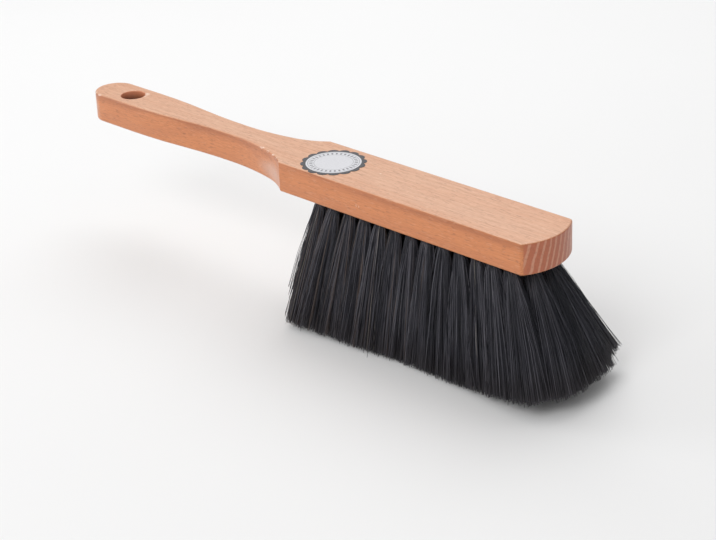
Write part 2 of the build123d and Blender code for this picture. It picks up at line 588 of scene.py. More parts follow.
    def with_painted_edge_shade(self, graph: Graph, side: Socket, colour: Socket) -> Socket:
        """Paints shade on the sides: a wavering dark band below the top edge, and a darker strip along the
        foot.

        Args:
            graph: The material's graph.
            side: Share of the sides.
            colour: The wood's colour so far.

        Returns:
            The colour with them.
        """
        _, _, height = graph.split(graph.place)
        low, high = self.top_height - self.edge_shade_depth, self.top_height - self.edge_shade_inset
        waver = graph.spread(graph.grain(self.edge_shade_waver_size), *self.edge_shade_waver)
        top_edge_shade = graph.calculate("MULTIPLY", graph.spread(height, low, high), waver)
        foot_top = self.underside_height + self.foot_depth
        foot = graph.spread(height, self.underside_height, foot_top, self.foot_shade, 0)
        dark = graph.calculate("MULTIPLY", graph.calculate("MAXIMUM", top_edge_shade, foot), side)
        return graph.mix(dark, colour, self.painted_edge_shade_colour)

    def end_grain(self, graph: Graph, phase: Socket) -> Socket:
        """Colour of the ends: darker, with the rings as paler lines that lean.

        Args:
            graph: The material's graph.
            phase: Phase of the growth rings.

        Returns:
            The colour.
        """
        lines = graph.spread(graph.calculate("SINE", phase), *self.end_line_shade)
        specks = graph.spread(graph.noise(self.end_specks_per_metre), *self.end_speck_shade)
        return graph.mix(specks, graph.mix(lines, self.end_colour, self.end_line_colour), self.pore_colour)

    def with_painted_light_and_wear(self, graph: Graph, colour: Socket) -> Socket:
        """Adds the painted light and shade in the hanging hole, the painted sheens and the pale marks.

        Args:
            graph: The material's graph.
            colour: The wood's colour so far.

        Returns:
            The colour with them.
        """
        # Painted light and shade in the hanging hole, light near the top and dark deeper down
        _, _, height = graph.split(graph.place)
        lit = graph.spread(height, self.top_height - self.bore_light_depth, self.top_height)
        inside = graph.mix(lit, self.bore_painted_shade_colour, self.bore_painted_light_colour)
        away = graph.distance(self.bore_centre, (self.bore_radius, self.bore_radius, 1))
        colour = graph.mix(graph.spread(away, *self.bore_wall), colour, inside)
        speckle = graph.spread(graph.noise(self.speckles_per_metre), *self.speckle_shade)
        # The painted sheens first, then the pale marks with the painted highlight on the hole's rim
        pale_marks = [(mark, self.painted_sheen_colour, 1) for mark in self.painted_sheens]
        pale_marks += [(mark, self.bare_and_painted_highlight_colour, speckle) for mark in self.marks]
        for mark, pale, cover in pale_marks:
            away = graph.distance(mark.centre, mark.radii)
            shown = graph.spread(away, mark.core_share, 1.0, mark.strength, 0)
            colour = graph.mix(graph.calculate("MULTIPLY", shown, cover), colour, pale)
        return colour


@dataclass(frozen=True)
class Horsehair(Finish):
    """Black horsehair. Its map has a hair's shade across and the way to the tip upwards."""

    name = "horsehair"
    darkest: Colour = (0.007, 0.008, 0.013)
    shades: tuple[tuple[float, Colour], ...] = (
        (0.45, (0.031, 0.031, 0.042)),
        (0.72, (0.15, 0.145, 0.17)),
        (0.78, (0.1, 0.07, 0.06)),
        (0.95, (0.2, 0.155, 0.135)),
        (1.0, (0.4, 0.36, 0.32)),
    )
    root_shade: Values = (0, 0.12, 0.4, 0)  # from the hole, which shades the roots
    tip_shade: Values = (0.7, 1.0, 0, 0.15)  # towards the tips, which are bleached a little
    bleached: Colour = (0.1, 0.07, 0.06)
    roughness: float = 0.4

    def paint(self, graph: Graph) -> None:
        """Paints the hair.

        Args:
            graph: The material's graph.
        """
        across, along, _ = graph.split(graph.add("ShaderNodeUVMap", uv_map=HAIR_MAP).outputs["UV"])
        ramp = graph.add("ShaderNodeValToRGB", {"Fac": across})
        stops = ramp.color_ramp.elements
        stops[0].color = (*self.darkest, 1)
        stops.remove(stops[1])
        for share, shade in self.shades:
            stops.new(share).color = (*shade, 1)
        colour = graph.mix(graph.spread(along, *self.root_shade), ramp.outputs["Color"], self.darkest)
        colour = graph.mix(graph.spread(along, *self.tip_shade), colour, self.bleached)
        graph.set(base_color=colour, roughness=self.roughness)


@dataclass(frozen=True)
class WireSteel(Finish):
    """Bright drawn steel wire, rolled flat."""

    name = "wire_steel"
    colour: Colour = linear(196, 196, 194)
    dull_colour: Colour = linear(138, 136, 132)
    lines_per_metre: Triple = (3000, 300, 9000)
    rough_range: Values = (0.3, 0.7, 0.22, 0.47)
    stains_per_metre: Triple = (260, 260, 260)
    stain_shade: Values = (0.4, 0.75, 0, 0.7)
    bump_strength: float = 0.2
    bump_depth: float = 0.01 * MM

    def paint(self, graph: Graph) -> None:
        """Paints the wire.

        Args:
            graph: The material's graph.
        """
        lines = graph.noise(self.lines_per_metre, FINE_DETAIL)
        stains = graph.spread(graph.noise(self.stains_per_metre), *self.stain_shade)
        colour = graph.mix(stains, self.colour, self.dull_colour)
        graph.set(base_color=colour, metallic=1.0, roughness=graph.spread(lines, *self.rough_range))
        graph.bump(lines, self.bump_strength, self.bump_depth)


@dataclass(frozen=True)
class PrintedPaper(Finish):
    """Pale label paper with a dark scalloped rim, thin ring lines and ticks, and no words."""

    name = "printed_paper"
    centre: Triple
    paper_colour: Colour = linear(212, 212, 216)
    fibre_colour: Colour = linear(188, 188, 193)
    rim_colour: Colour = linear(72, 72, 76)
    line_colour: Colour = linear(92, 92, 97)
    fibres_per_metre: Triple = (900, 1600, 900)
    fibre_detail: float = 4
    fibre_roughness: float = 0.65
    fibre_shade: Values = (0.35, 0.8, 0, 0.45)
    flat_radii: Triple = (1, 1, 1000)  # for distances in which the height hardly counts
    disc_radius: float = 12.6 * MM
    ink_edge: float = 0.12 * MM
    ring_lines: tuple[Values, ...] = (mm(11.7, 0.2), mm(8.9, 0.16))  # radius and width
    ring_ink: float = 0.55
    tick_ring: Values = mm(9.5, 11.0)
    tick_shade: Values = (0.1, 0.5)
    tick_ink: float = 0.85
    ticks: int = 32
    roughness: float = 0.55
    bump_strength: float = 0.2
    bump_depth: float = 0.02 * MM

    def paint(self, graph: Graph) -> None:
        """Paints the label.

        Args:
            graph: The material's graph.
        """
        away = graph.distance(self.centre, self.flat_radii)
        fibres = graph.noise(self.fibres_per_metre, self.fibre_detail, self.fibre_roughness)
        colour = graph.mix(graph.spread(fibres, *self.fibre_shade), self.paper_colour, self.fibre_colour)
        for radius, width in self.ring_lines:
            off_line = graph.calculate("ABSOLUTE", graph.calculate("SUBTRACT", away, radius))
            ink = graph.spread(off_line, width / 2, width, self.ring_ink, 0)
            colour = graph.mix(ink, colour, self.line_colour)
        colour = graph.mix(self.tick_share(graph, away), colour, self.line_colour)
        outside = graph.spread(away, self.disc_radius, self.disc_radius + self.ink_edge)
        colour = graph.mix(outside, colour, self.rim_colour)
        graph.set(base_color=colour, roughness=self.roughness)
        graph.bump(fibres, self.bump_strength, self.bump_depth)

    def tick_share(self, graph: Graph, away: Socket) -> Socket:
        """Share of ink of the border, a ring of short plain ticks.

        Args:
            graph: The material's graph.
            away: Distance from the label's middle.

        Returns:
            The share.
        """
        x, y, _ = graph.split(graph.place)
        x = graph.calculate("SUBTRACT", x, self.centre[0])
        y = graph.calculate("SUBTRACT", y, self.centre[1])
        turns = graph.calculate("MULTIPLY", graph.calculate("ARCTAN2", y, x), float(self.ticks))
        tick = graph.spread(graph.calculate("SINE", turns), *self.tick_shade)
        inner, outer = self.tick_ring
        within = graph.calculate("MULTIPLY", graph.spread(away, inner, inner + self.ink_edge), tick)
        ink = graph.spread(away, outer, outer + self.ink_edge, self.tick_ink, 0)
        return graph.calculate("MULTIPLY", within, ink)


@dataclass(frozen=True)
class StudioPaper(Finish):
    """Plain pale paper of the studio floor."""

    name = "studio_paper"
    colour: Colour = linear(238, 238, 238)
    clouds_per_metre: Triple = (6, 6, 6)
    cloud_share: float = 0.98  # of the colour, where a cloud is darkest
    roughness: float = 0.8

    def paint(self, graph: Graph) -> None:
        """Paints the floor.

        Args:
            graph: The material's graph.
        """
        darker = tuple(value * self.cloud_share for value in self.colour)
        colour = graph.mix(graph.noise(self.clouds_per_metre), self.colour, darker)
        graph.set(base_color=colour, roughness=self.roughness)


# The rows of tufts


@dataclass(frozen=True)
class TuftPlace:
    """Where one tuft stands on the block."""

    name: str
    distance: float  # from the shoulder to the hole
    offset: float  # from the middle line


@dataclass(frozen=True)
class TuftPlan:
    """Places, lean and length of the tufts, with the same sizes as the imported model."""

    shoulder_x: float = -11.781 * MM
    underside_height: float = 59.8 * MM
    first_distance: float = 21.1 * MM
    row_length: float = 110.4 * MM
    outer_row_offset: float = 12.1 * MM
    outer_row_tufts: int = 13
    row_names: tuple[str, ...] = ("front", "inner_front", "inner_back", "back")
    hair_length: float = 60.3 * MM
    free_end_shortening: float = 6.5 * MM
    handle_end_lean: float = 10.0
    free_end_lean: float = 31.0
    side_lean: float = 10.0
    handle_corner_side_lean: float = 12.0
    free_corner_side_lean: float = 17.0
    handle_fan_share: float = 0.35  # of the row's length, over which the tufts lean to the handle
    free_fan_start_share: float = 0.5
    free_trim_start_share: float = 0.75
    handle_fan_power: float = 1.5
    free_fan_power: float = 1.4
    handle_side_share: float = 0.35
    handle_side_power: float = 1.5
    free_side_power: float = 1.4
    free_trim_power: float = 1.5
    back_corner_side_lean: float = 17.0

    @property
    def pitch(self) -> float:
        """Distance between two tufts of a row."""
        return self.row_length / (self.outer_row_tufts - 1)

    @property
    def row_spacing(self) -> float:
        """Distance between two rows."""
        return 2 * self.outer_row_offset / (len(self.row_names) - 1)

    def places(self) -> list[TuftPlace]:
        """Every tuft's place, with the inner rows half a pitch out of step.

        Returns:
            The places, row by row.
        """
        places = []
        for row, row_name in enumerate(self.row_names):
            offset = row * self.row_spacing - self.outer_row_offset
            inner = 0 < row < len(self.row_names) - 1
            start = self.first_distance - (self.pitch / 2 if inner else 0)
            for number in range(self.outer_row_tufts + inner):
                name = f"tuft_{row_name}_{number + 1:02d}"
                places.append(TuftPlace(name, start + number * self.pitch, offset))
        return places

    def along(self, distance: np.ndarray) -> np.ndarray:
        """Share of the outer rows' length at a distance from the shoulder."""
        return (distance - self.first_distance) / self.row_length

    def past(self, distance: np.ndarray, start_share: float) -> np.ndarray:
        """How far a place is on the way from a share of the row to the row's end, at least 0."""
        return np.maximum(0, (self.along(distance) - start_share) / (1 - start_share))

    def before(self, distance: np.ndarray, end_share: float) -> np.ndarray:
        """How far a place is on the way from a share of the row to the row's start, at least 0."""
        return np.maximum(0, 1 - self.along(distance) / end_share)

    def directions(self, distance: np.ndarray, offset: np.ndarray) -> np.ndarray:
        """Unit vectors from the holes to the tips.

        Args:
            distance: Distances from the shoulder.
            offset: Offsets from the middle line.

        Returns:
            One vector for each place, along the last axis.
        """
        to_handle = self.before(distance, self.handle_fan_share) ** self.handle_fan_power
        beyond = self.past(distance, self.free_fan_start_share)
        to_free = beyond**self.free_fan_power
        lean_along = self.free_end_lean * to_free - self.handle_end_lean * to_handle
        handle_side = self.before(distance, self.handle_side_share) ** self.handle_side_power
        widest = self.side_lean + (self.handle_corner_side_lean - self.side_lean) * handle_side
        corner = np.where(offset > 0, self.back_corner_side_lean, self.free_corner_side_lean)
        widest = widest + (corner - self.side_lean) * beyond**self.free_side_power
        lean_across = widest * offset / self.outer_row_offset
        x = np.tan(np.radians(lean_along))
        y = np.tan(np.radians(lean_across))
        directions = np.stack(np.broadcast_arrays(x, y, -1.0), axis=-1)
        return directions / np.linalg.norm(directions, axis=-1, keepdims=True)

    def length_at(self, distance: np.ndarray) -> np.ndarray:
        """Length of the hair, which gets shorter towards the free end."""
        beyond = self.past(distance, self.free_trim_start_share)
        return self.hair_length - self.free_end_shortening * beyond**self.free_trim_power

    def point(self, distance: np.ndarray, offset: np.ndarray) -> np.ndarray:
        """Points of the underside, along the last axis."""
        places = np.broadcast_arrays(self.shoulder_x + distance, offset, self.underside_height)
        return np.stack(places, axis=-1)

    def mouth(self, place: TuftPlace) -> np.ndarray:
        """Middle of a hole's mouth."""
        return self.point(np.array(place.distance), np.array(place.offset))

    def direction(self, place: TuftPlace) -> np.ndarray:
        """Unit vector from a hole to its tips."""
        return self.directions(np.array(place.distance), np.array(place.offset))

    def axes(self, place: TuftPlace) -> np.ndarray:
        """The axes of a tuft's own frame.

        Args:
            place: The tuft.

        Returns:
            Three rows: along the plank, across it, and from the hole to the tips.
        """
        down = self.direction(place)
        across = np.cross(down, (1.0, 0, 0))
        across /= np.linalg.norm(across)
        return np.stack([np.cross(across, down), across, down])


@dataclass(frozen=True)
class HairPlan(TuftPlan):
    """Course of the loose hair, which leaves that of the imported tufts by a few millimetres."""

    free_end_shortening: float = 1.8 * MM
    handle_end_lean: float = 7.0
    free_end_lean: float = 24.0
    side_lean: float = 7.7
    handle_corner_side_lean: float = 14.0
    handle_side_share: float = 0.5
    handle_side_power: float = 1.0
    free_corner_side_lean: float = 12.5
    free_side_power: float = 2.0
    back_corner_side_lean: float = 22.5
    field_share: float = 1.15  # of the room of a tuft, so that neighbours overlap
    handle_end_reach: float = 1.8 * MM  # beyond the outer row's first tuft
    free_end_reach: float = 9.0 * MM
    side_reach: float = 1.6 * MM
    free_corner_cut: float = 4.5 * MM
    free_corner_start_share: float = 0.8

    def field(self, place: TuftPlace, spots: np.ndarray) -> tuple[np.ndarray, np.ndarray]:
        """Distance and offset that the tips of a tuft stand for in the fan.

        Args:
            place: The tuft.
            spots: Spots in a square of -1 to 1, which stands for the tuft's part of the fan.

        Returns:
            The distances and the offsets.
        """
        middle = np.array([place.distance, place.offset])
        half = self.field_share / 2 * np.array([self.pitch, self.row_spacing])
        side = self.outer_row_offset + self.side_reach
        first = self.first_distance - self.handle_end_reach
        last = self.first_distance + self.row_length + self.free_end_reach
        low = np.maximum(middle - half, (first, -side))
        high = np.minimum(middle + half, (last, side))
        distance, offset = (low + (high - low) * (1 + spots) / 2).T
        beyond = self.past(distance, self.free_corner_start_share)
        return distance - self.free_corner_cut * beyond * (offset / side) ** 2, offset


# The wooden stock


class Pen:
    """Draws an outline in edit mode. The last point that it drew stays selected."""

    facet_angle = 3.0

    def __init__(self, start: Vector, heading: Vector) -> None:
        """Puts a single point down.

        Args:
            start: Where the outline starts.
            heading: Direction in which it leaves.
        """
        bpy.ops.mesh.primitive_plane_add(size=1, location=start)
        bpy.ops.mesh.merge(type="CENTER")
        self.place = start
        self.heading = heading

    def line(self, end: Vector) -> None:
        """Draws a straight line.

        Args:
            end: Where the line ends.
        """
        step = end - self.place
        extrude(step)
        self.place = end
        self.heading = step.normalized()

    def arc(self, end: Vector) -> None:
        """Draws an arc that leaves along the pen's heading, and turns the heading with it.

        Args:
            end: Where the arc ends.
        """
        chord = end - self.place
        left = Vector((-self.heading.y, self.heading.x, 0))
        radius = chord.length_squared / (2 * chord.dot(left))
        turn = 2 * math.atan2(chord.dot(left), chord.dot(self.heading))
        steps = max(2, math.ceil(abs(turn) / math.radians(self.facet_angle)))
        centre = self.place + radius * left
        # The spin turns clockwise where its angle is positive
        bpy.ops.mesh.spin(steps=steps, angle=-turn, center=centre, axis=(0, 0, 1))
        self.place = end
        self.heading = Matrix.Rotation(turn, 3, "Z") @ self.heading


@dataclass
class Stock:
    """Block and flat handle in one plank, with its hanging hole and the drilled holes."""

    plan: TuftPlan
    finish: Beech
    block_width: float = 33.5 * MM
    block_length: float = 141.6 * MM
    end_rise: float = 5.5 * MM
    thickness: float = 14.3 * MM
    handle_length: float = 145.6 * MM
    grip_width: float = 20.8 * MM
    grip_length: float = 33.6 * MM
    neck_width: float = 13.3 * MM
    neck_distance: float = 43.5 * MM
    collar_width: float = 19.6 * MM
    collar_distance: float = 15.0 * MM
    handle_edge_radius: float = 1.0 * MM
    block_edge_radius: float = 0.8 * MM
    shoulder_edge_radius: float = 0.3 * MM
    corner_radius: float = 1.0 * MM
    edge_segments: int = 4
    hang_hole_radius: float = 6.0 * MM
    hang_hole_inset: float = 23.7 * MM
    hang_rim_radius: float = 0.6 * MM
    hang_hole_sides: int = 64
    merge_distance: float = 0.01 * MM
    match_distance: float = 0.1 * MM  # from an edge to the corner that it stands at
    rim_segments: int = 4
    hole_radius: float = 2.5 * MM
    hole_depth: float = 9.0 * MM
    hole_sides: int = 16
    overrun: float = 2.5 * MM
    smooth_angle: float = 35.0

    def build(self) -> bpy.types.Object:
        """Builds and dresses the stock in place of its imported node.

        Returns:
            The stock.
        """
        piece = self.plank()
        self.round_edges(piece)
        cutters = [self.hang_hole_cutter()] + self.drillings()
        pick(cutters[0])
        for cutter in cutters:
            cutter.select_set(True)
        bpy.ops.object.join()
        apply_modifier(piece, "BOOLEAN", operation="DIFFERENCE", solver="EXACT", object=cutters[0])
        bpy.data.objects.remove(cutters[0])
        pick(piece)
        bpy.ops.object.shade_smooth_by_angle(angle=math.radians(self.smooth_angle))
        apply_modifier(piece, "WEIGHTED_NORMAL", keep_sharp=True)
        dress(piece, self.finish.material())
        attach(piece, BODY)
        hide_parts("stock")
        return piece

    def point(self, along: float, across: float) -> Vector:
        """A point of the underside, by its distance from the shoulder and from the middle."""
        return Vector((self.plan.shoulder_x + along, across, self.plan.underside_height))

    def plank(self) -> bpy.types.Object:
        """Draws half the outline, mirrors it and pulls it up to the plank's thickness.

        Returns:
            The plank with sharp edges.
        """
        end = self.point(self.block_length + self.end_rise, 0)
        corner = self.point(self.block_length, self.block_width / 2)
        shoulder = self.point(0, self.block_width / 2)
        collar = self.point(-self.collar_distance, self.collar_width / 2)
        neck = self.point(-self.neck_distance, self.neck_width / 2)
        grip = self.point(self.grip_length - self.handle_length, self.grip_width / 2)
        cap = self.point(self.grip_width / 2 - self.handle_length, self.grip_width / 2)
        tip = self.point(-self.handle_length, 0)

        piece = added("stock_plank", bpy.ops.mesh.primitive_plane_add)
        with editing(piece):
            bpy.ops.mesh.select_all(action="SELECT")
            bpy.ops.mesh.delete(type="VERT")
            free_end = Pen(end, Vector((0, 1, 0)))
            free_end.arc(corner)
            free_end.line(shoulder)
            to_block = Pen(neck, Vector((1, 0, 0)))
            to_block.arc(collar)
            to_block.arc(shoulder)
            to_tip = Pen(neck, Vector((-1, 0, 0)))
            to_tip.arc((neck + grip) / 2)
            to_tip.arc(grip)
            to_tip.line(cap)
            to_tip.arc(tip)
            bpy.ops.mesh.select_all(action="SELECT")
            bpy.ops.mesh.remove_doubles(threshold=self.merge_distance)
        sides = (False, True, False)
        apply_modifier(piece, "MIRROR", use_axis=sides, merge_threshold=self.merge_distance)
        with editing(piece):
            bpy.ops.mesh.select_all(action="SELECT")
            bpy.ops.mesh.edge_face_add()
            extrude(Vector((0, 0, self.thickness)))
            face_outwards()
        return piece

    def round_edges(self, piece: bpy.types.Object) -> None:
        """Rounds the corners of the free end, and then every long edge.

        Args:
            piece: The plank.
        """
        shoulder = self.point(0, self.block_width / 2)
        corner = self.point(self.block_length, self.block_width / 2)

        def is_at(edge: bmesh.types.BMEdge, mark: Vector) -> bool:
            """Whether an upright edge stands at a point or at its mirror image."""
            spot = middle(edge)
            return max(abs(spot.x - mark.x), abs(abs(spot.y) - mark.y)) < self.match_distance

        with editing(piece):
            select_edges(piece, lambda edge: is_upright(edge) and is_at(edge, corner))
            bpy.ops.mesh.bevel(offset=self.corner_radius, segments=self.edge_segments, affect="EDGES")
            mesh = bmesh.from_edit_mesh(piece.data)
            weight = mesh.edges.layers.float.new("bevel_weight_edge")
            for edge in mesh.edges:
                if is_level(edge):
                    edge[weight] = self.edge_radius(middle(edge).x) / self.handle_edge_radius
                elif is_upright(edge) and is_at(edge, shoulder):
                    edge[weight] = self.shoulder_edge_radius / self.handle_edge_radius
            bmesh.update_edit_mesh(piece.data)
        apply_modifier(
            piece,
            "BEVEL",
            width=self.handle_edge_radius,
            segments=self.edge_segments,
            limit_method="WEIGHT",
            use_clamp_overlap=False,
        )

    def edge_radius(self, x: float) -> float:
        """Radius of the long edges, which narrows from the collar to the shoulder."""
        share = min(1, max(0, (x - self.plan.shoulder_x) / self.collar_distance + 1))
        return self.handle_edge_radius + share * (self.block_edge_radius - self.handle_edge_radius)

    def hang_hole_cutter(self) -> bpy.types.Object:
        """Turned body with flared ends, which leaves the hole with its rounded rims.

        Returns:
            The cutter.
        """
        centre = self.point(self.hang_hole_inset - self.handle_length, 0)
        bottom = centre.z
        rings = [(self.hang_hole_radius + self.hang_rim_radius, bottom - self.overrun)]
        for step in range(self.rim_segments + 1):
            angle = math.pi / 2 * step / self.rim_segments
            radius = self.hang_hole_radius + self.hang_rim_radius * (1 - math.sin(angle))
            rings.append((radius, bottom + self.hang_rim_radius * (1 - math.cos(angle))))
        bottom_and_top = 2 * bottom + self.thickness
        rings += [(radius, bottom_and_top - height) for radius, height in reversed(rings)]

        cutter = added(
            "cutter_hang_hole",
            bpy.ops.mesh.primitive_circle_add,
            vertices=self.hang_hole_sides,
            radius=rings[0][0],
            fill_type="NGON",
            location=(centre.x, centre.y, rings[0][1]),
        )
        with editing(cutter):
            bpy.ops.mesh.select_all(action="SELECT")
            for (radius, height), (next_radius, next_height) in zip(rings, rings[1:]):
                extrude(Vector((0, 0, next_height - height)))
                widen = (next_radius / radius, next_radius / radius, 1)
                pivot = (centre.x, centre.y, next_height)
                bpy.ops.transform.resize(value=widen, center_override=pivot)
            face_outwards()
        return cutter

    def drillings(self) -> list[bpy.types.Object]:
        """One cutter for each tuft, copied from a master along its lean.

        Returns:
            The cutters.
        """
        depth = self.hole_depth + self.overrun
        master = added(
            "cutter_hole",
            bpy.ops.mesh.primitive_cylinder_add,
            vertices=self.hole_sides,
            radius=self.hole_radius,
            depth=depth,
            location=(0, 0, self.overrun - depth / 2),
        )
        cutters = []
        for place in self.plan.places():
            cutter = master.copy()
            cutter.data = master.data.copy()
            turn = Matrix(self.plan.axes(place).T.tolist()).to_4x4()
            cutter.data.transform(Matrix.Translation(self.plan.mouth(place)) @ turn)
            bpy.context.collection.objects.link(cutter)
            cutters.append(cutter)
        bpy.data.objects.remove(master)
        return cutters


# The hair


@dataclass
class Tufts:
    """54 tufts of loose hair, each from the depth of its own hole."""

    plan: TuftPlan
    hair_plan: HairPlan
    finish: Horsehair
    hairs: int = 1000
    hair_sides: int = 3
    hair_segments: int = 4
    ring_power: float = 1.6  # the hair's rings stand closer together near the root
    root_hair_radius: float = 0.13 * MM
    tip_hair_radius: float = 0.11 * MM
    root_depth: float = 1.5 * MM
    root_radius: float = 2.1 * MM
    root_order_share: float = 0.55
    clumps: int = 150
    clump_pull_share: float = 0.6
    disorder: float = 0.8 * MM
    splay_power: float = 0.58
    droop_power: float = 2.2
    wave: float = 0.7 * MM
    fewest_turns: float = 0.6
    most_turns: float = 1.8
    stray_share: float = 0.03
    stray_wave: float = 2.0 * MM
    stray_disorder: float = 2.2 * MM
    short_share: float = 0.12
    end_short_share: float = 0.4
    ragged_tufts: float = 2.5  # at the handle's end, with more short hairs that lean outwards
    ragged_lean: float = 10.0 * MM
    ragged_shortest_share: float = 0.7
    shortest_share: float = 0.35
    clump_trim: float = 1.7 * MM
    hair_trim: float = 0.6 * MM
    floor_gap: float = 0.2 * MM
    pale_share: float = 0.0013
    darkest_pale_share: float = 0.95  # of the shades, where those of the pale hairs begin
    clump_shade_share: float = 0.6
    # Painted shade: the hair darkens towards the free end, where the fan faces away from the lamps
    free_end_painted_shade_share: float = 0.25
    free_end_painted_shade_power: float = 2.0
    shade_width: float = 0.008
    seed: int = 54

    @cached_property
    def dice(self) -> np.random.Generator:
        """The seeded random source."""
        return np.random.default_rng(self.seed)

    def build(self) -> list[bpy.types.Object]:
        """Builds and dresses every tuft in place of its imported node.

        Returns:
            The tufts.
        """
        material = self.finish.material()
        corners, faces = self.master_hair()
        tufts = []
        for place in self.plan.places():
            points, shares, shades = self.bent_hairs(place, corners)
            tuft = self.tuft_mesh(place.name, points, shares, shades, faces)
            dress(tuft, material)
            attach(tuft, BODY)
            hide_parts(place.name)
            tufts.append(tuft)
        return tufts

    def master_hair(self) -> tuple[np.ndarray, list[tuple[int, ...]]]:
        """Models one straight hair, three-sided and tapered, from 0 to its length up Z.

        Returns:
            Its corners, and its faces as tuples of corner numbers.
        """
        length = self.plan.hair_length
        hair = added(
            "master_hair",
            bpy.ops.mesh.primitive_cone_add,
            vertices=self.hair_sides,
            radius1=self.root_hair_radius,
            radius2=self.tip_hair_radius,
            depth=length,
            location=(0, 0, length / 2),
        )
        with editing(hair):
            select_edges(hair, lambda edge: abs(edge.verts[0].co.z - edge.verts[1].co.z) > length / 2)
            bpy.ops.mesh.subdivide(number_cuts=self.hair_segments - 1)
        corners = np.array([vertex.co for vertex in hair.data.vertices])
        faces = [tuple(face.vertices) for face in hair.data.polygons]
        bpy.data.objects.remove(hair)
        return corners, faces

    def bent_hairs(self, place: TuftPlace, corners: np.ndarray) -> tuple[np.ndarray, ...]:
        """Copies the master hair for one tuft and bends every copy to its own course.

        Args:
            place: The tuft.
            corners: The master hair's corners.

        Returns:
            Corners by hair, share of the length by corner, and shade by hair.
        """
        count, dice = self.hairs, self.dice
        axes = self.plan.axes(place)
        spots = dice.uniform(-1, 1, (count, 2))
        clump_spots = dice.uniform(-1, 1, (self.clumps, 2))
        clump = np.linalg.norm(spots[:, None] - clump_spots[None], axis=2).argmin(axis=1)
        spots += self.clump_pull_share * (clump_spots[clump] - spots)
        pale = dice.random(count) < self.pale_share
        stray = pale | (dice.random(count) < self.stray_share)

        # The tips fill the tuft's own field of the fan, so that neighbours meet without a gap
        plan = self.hair_plan
        distance, offset = plan.field(place, spots)
        last_distance = plan.first_distance + plan.row_length
        toward = plan.directions(np.clip(distance, plan.first_distance, last_distance), offset)
        ragged = 1 - (place.distance - plan.first_distance) / (self.ragged_tufts * plan.pitch)
        ragged = min(1, max(0, ragged))
        length = self.lengths(distance, toward, clump, ragged)
        finish = plan.point(distance, offset) + toward * length[:, None]
        finish[:, 0] -= self.ragged_lean * ragged * (1 - length / plan.hair_length)
        away = np.where(stray, self.stray_disorder, self.disorder)
        finish += (away[:, None] * dice.normal(size=(count, 2))) @ axes[:2]

        # The roots stand in the hole, only partly in the order of the tips
        mixed = self.root_order_share * self.disc(spots) + (1 - self.root_order_share) * self.disc_spots()
        at_root = self.root_radius * mixed @ axes[:2]
        mouth = plan.mouth(place)
        start = mouth - axes[2] * self.root_depth + at_root
        straight = axes[2] * (length + self.root_depth)[:, None]
        droop = (plan.direction(place) - axes[2]) * length[:, None]
        splay = finish - start - straight - droop
        share = (corners[:, 2] / plan.hair_length) ** self.ring_power
        course = (
            start[:, None]
            + straight[:, None] * share[None, :, None]
            + droop[:, None] * (share**self.droop_power)[None, :, None]
            + splay[:, None] * (share**self.splay_power)[None, :, None]
        )

        # Slow waves, which the strays have much larger
        height = np.where(stray, self.stray_wave, self.wave) * dice.random(count)
        sway = self.headings() * height[:, None]
        turns = self.fewest_turns + (self.most_turns - self.fewest_turns) * dice.random(count)
        phase = 2 * math.pi * dice.random(count)
        wave = np.sin(phase[:, None] + 2 * math.pi * turns[:, None] * share) - np.sin(phase)[:, None]
        course += (sway @ axes[:2])[:, None] * (wave * share)[:, :, None]

        cos, sin = self.headings().T[:, :, None]
        side = corners[:, 0] * cos - corners[:, 1] * sin
        front = corners[:, 0] * sin + corners[:, 1] * cos
        points = course + side[:, :, None] * axes[0] + front[:, :, None] * axes[1]
        points[:, :, 2] = np.maximum(points[:, :, 2], self.floor_gap)

        shade = self.clump_shade_share * dice.random(self.clumps)[clump]
        shade += (1 - self.clump_shade_share) * dice.random(count)
        # Painted shade on the fan towards the free end
        to_free = np.clip(plan.along(distance), 0, 1) ** self.free_end_painted_shade_power
        shade *= 1 - self.free_end_painted_shade_share * to_free
        shade = np.where(pale, 1, shade * self.darkest_pale_share) - self.shade_width
        return points, share, np.maximum(shade, 0)

    def lengths(
        self, distance: np.ndarray, toward: np.ndarray, clump: np.ndarray, ragged: float
    ) -> np.ndarray:
        """Length of every hair of a tuft, unevenly trimmed, with some of them short.

        Args:
            distance: Distance from the shoulder of each hair's place in the fan.
            toward: Direction of each hair.
            clump: Number of each hair's clump.
            ragged: How far the tuft is one of the ragged ones, 0 to 1.

        Returns:
            The lengths.
        """
        plan, count, dice = self.hair_plan, self.hairs, self.dice
        uneven = self.clump_trim * dice.random(self.clumps)[clump] + self.hair_trim * dice.random(count)
        length = np.minimum(plan.length_at(distance), plan.underside_height / -toward[:, 2]) - uneven
        short_share = self.short_share + ragged * (self.end_short_share - self.short_share)
        shortest_share = self.shortest_share + ragged * (self.ragged_shortest_share - self.shortest_share)
        short = dice.random(count) < short_share
        return length * np.where(short, shortest_share + (1 - shortest_share) * dice.random(count), 1)

    def disc(self, spots: np.ndarray) -> np.ndarray:
        """Spots of a square, brought into the disc that fits in it."""
        x, y = spots[:, 0], spots[:, 1]
        return np.stack([x * np.sqrt(1 - y**2 / 2), y * np.sqrt(1 - x**2 / 2)], axis=1)

    def disc_spots(self) -> np.ndarray:
        """One random spot a hair, spread evenly over a disc of radius 1."""
        radius = np.sqrt(self.dice.random(self.hairs))
        return radius[:, None] * self.headings()

    def headings(self) -> np.ndarray:
        """One random direction in a plane for each hair, as the cosine and the sine of its angle."""
        angle = 2 * math.pi * self.dice.random(self.hairs)
        return np.stack([np.cos(angle), np.sin(angle)], axis=1)

